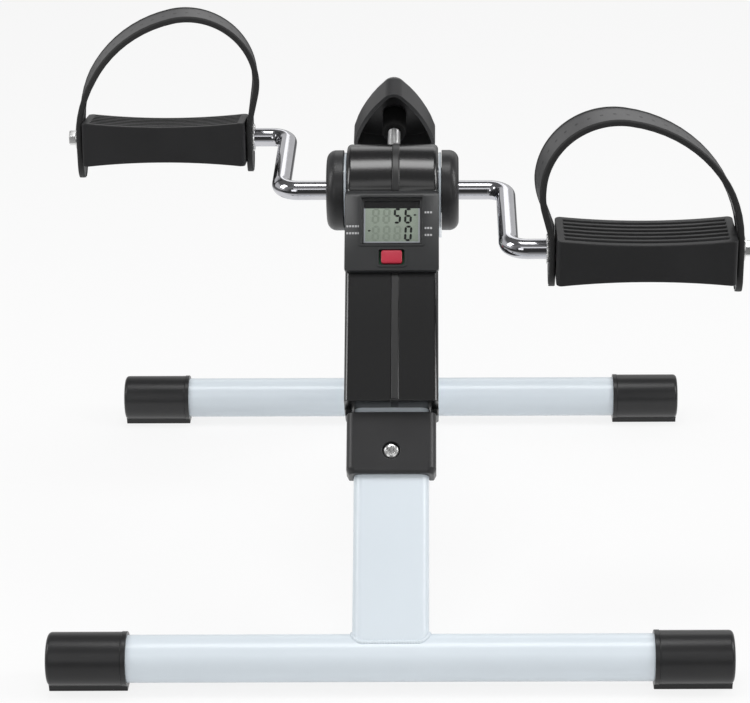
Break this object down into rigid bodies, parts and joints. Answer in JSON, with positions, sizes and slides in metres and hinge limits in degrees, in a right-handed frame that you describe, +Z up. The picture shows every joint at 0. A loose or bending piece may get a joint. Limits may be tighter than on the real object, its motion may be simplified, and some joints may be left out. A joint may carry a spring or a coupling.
{
  "type": "pedal exerciser",
  "caption": "Folding floor pedal exerciser: steel T-leg A-frame, moulded housing with counter display, bent-rod crank, strapped pedals and a friction tension knob.",
  "frame": {"origin": "on the floor, midway between the two base bars and under the crank's middle", "axes": "+Z up, +Y from the front bar to the rear bar, +X to the right as seen from the front"},
  "size_m": [0.4282, 0.4322, 0.3313],
  "materials": {
    "painted_steel": "satin powder coat",
    "end_cap_rubber": "matt",
    "housing_plastic": "fine texture",
    "bearing_steel": "machined",
    "nylon": "matt",
    "screw_steel": "zinc plated",
    "display_glass": "clear",
    "lcd": "grey-green",
    "circuit_board": "solder mask",
    "cell_steel": "nickel plated",
    "red_plastic": "satin",
    "sensor_plastic": "gloss",
    "lead_sheath": "matt",
    "chrome_rod": "bright",
    "magnet": "dull",
    "pedal_plastic": "moulded",
    "strap_vinyl": "satin",
    "brake_lining": "matt"
  },
  "bodies": {
    "frame": {"front_base_bar": "painted_steel", "front_left_cap": "end_cap_rubber", "front_right_cap": "end_cap_rubber", "front_leg_tube": "painted_steel", "bearing_shell": "bearing_steel", "left_bush": "nylon", "right_bush": "nylon", "fold_stop_pins": "bearing_steel", "housing_left": "housing_plastic", "housing_right": "housing_plastic", "housing_screws": "screw_steel", "left_hub_cap": "housing_plastic", "right_hub_cap": "housing_plastic", "display_case": "housing_plastic", "display_lens": "display_glass", "lcd_panel": "lcd", "display_board": "circuit_board", "button_cell": "cell_steel", "button_pad": "lead_sheath", "reed_sensor": "sensor_plastic", "sensor_lead": "lead_sheath", "leg_collar": "housing_plastic", "collar_screw": "screw_steel", "tension_boss": "bearing_steel"},
    "rear_leg": {"rear_base_bar": "painted_steel", "rear_left_cap": "end_cap_rubber", "rear_right_cap": "end_cap_rubber", "rear_leg_tube": "painted_steel", "left_fork_plate": "painted_steel", "right_fork_plate": "painted_steel", "fork_bridge": "painted_steel"},
    "crank": {"crank_axle": "chrome_rod", "brake_sleeve": "bearing_steel", "counter_magnet": "magnet", "left_crank_arm": "chrome_rod", "right_crank_arm": "chrome_rod", "left_spindle_washers": "chrome_rod", "right_spindle_washers": "chrome_rod", "left_spindle_nut": "chrome_rod", "right_spindle_nut": "chrome_rod"},
    "left_pedal": {"left_pedal_body": "pedal_plastic", "left_pedal_bushes": "nylon", "left_strap": "strap_vinyl"},
    "right_pedal": {"right_pedal_body": "pedal_plastic", "right_pedal_bushes": "nylon", "right_strap": "strap_vinyl"},
    "brake": {"brake_shoe": "brake_lining"},
    "knob": {"tension_screw": "chrome_rod", "tension_knob": "housing_plastic"},
    "button": {"reset_button": "red_plastic"}
  },
  "joints": [
    {"name": "rear_leg_fold", "type": "hinge", "parent": "frame", "child": "rear_leg", "pos_m": [0, 0, 0.2395], "axis": [-1, 0, 0], "range_deg": [0, 74]},
    {"name": "crank_turn", "type": "hinge", "parent": "frame", "child": "crank", "pos_m": [0, 0, 0.2395], "axis": [1, 0, 0], "continuous": true},
    {"name": "left_pedal_turn", "type": "hinge", "parent": "crank", "child": "left_pedal", "pos_m": [0, 0.09428, 0.24593], "axis": [1, 0, 0], "continuous": true},
    {"name": "right_pedal_turn", "type": "hinge", "parent": "crank", "child": "right_pedal", "pos_m": [0, -0.09428, 0.23307], "axis": [1, 0, 0], "continuous": true},
    {"name": "brake_slide", "type": "slide", "parent": "frame", "child": "brake", "axis": [0, -0.9272, -0.3746], "range_m": [0, 0.003]},
    {"name": "tension_knob_turn", "type": "hinge", "parent": "brake", "child": "knob", "pos_m": [0, 0, 0.2395], "axis": [0, -0.9272, -0.3746], "range_deg": [0, 864]},
    {"name": "reset_button_press", "type": "slide", "parent": "frame", "child": "button", "axis": [0, 0.743, -0.6693], "range_m": [0, 0.001], "stiffness_N_per_m": 600, "springref_m": -0.0005}
  ],
  "couplings": [
    {"joint": "brake_slide", "follows": "tension_knob_turn", "m_per_rad": 0.00019893}
  ]
}
